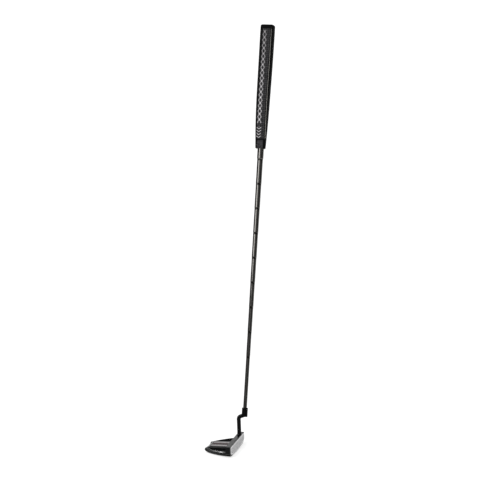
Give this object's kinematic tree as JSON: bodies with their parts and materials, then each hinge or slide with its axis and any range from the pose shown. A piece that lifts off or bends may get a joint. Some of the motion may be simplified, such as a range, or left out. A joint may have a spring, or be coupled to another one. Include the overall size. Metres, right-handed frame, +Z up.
{
  "type": "mallet putter",
  "caption": "Right-handed mallet putter: silver face plate, black winged head, forward-offset crank neck, stepped tapered steel shaft and flat-front pistol grip.",
  "frame": {"origin": "on the ground, in the middle of the sole's flat, where the club rests at address", "axes": "+X along the face's normal, to the target; +Y from toe to heel, towards the player; +Z up"},
  "size_m": [0.0868, 0.3839, 0.8368],
  "materials": {
    "head_black": "satin black plating",
    "face_silver": "machined, bevelled edge",
    "insert_silver": "fine milled lines",
    "adhesive": "cured epoxy",
    "sight_red": "dark red enamel",
    "sight_light": "light grey enamel",
    "weight_steel": "bare steel",
    "neck_black": "satin black plating",
    "screw_steel": "dark steel",
    "shaft_chrome": "bright chrome",
    "plug": "cork-like plug",
    "grip_rubber": "matt black, fine texture",
    "panel_rubber": "black panel with raised light lattice",
    "thread": "grey stitching",
    "cap_rubber": "smooth black",
    "collar_rubber": "fine-textured black",
    "tape": "double-sided paper tape"
  },
  "bodies": {
    "root": {"head_body": "head_black", "face_plate": "face_silver", "face_insert": "insert_silver", "insert_adhesive": "adhesive", "sight_line": "sight_red", "sight_strip_toe": "sight_light", "sight_strip_heel": "sight_light", "sole_weight_toe": "weight_steel", "sole_weight_heel": "weight_steel", "neck": "neck_black", "neck_adhesive": "adhesive", "neck_screw": "screw_steel", "shaft": "shaft_chrome", "shaft_adhesive": "adhesive", "tip_plug": "plug", "grip_tape": "tape", "grip_body": "grip_rubber", "front_panel": "panel_rubber", "stitch_front": "thread", "stitch_rear": "thread", "end_collar": "collar_rubber", "butt_cap": "cap_rubber"}
  },
  "joints": []
}
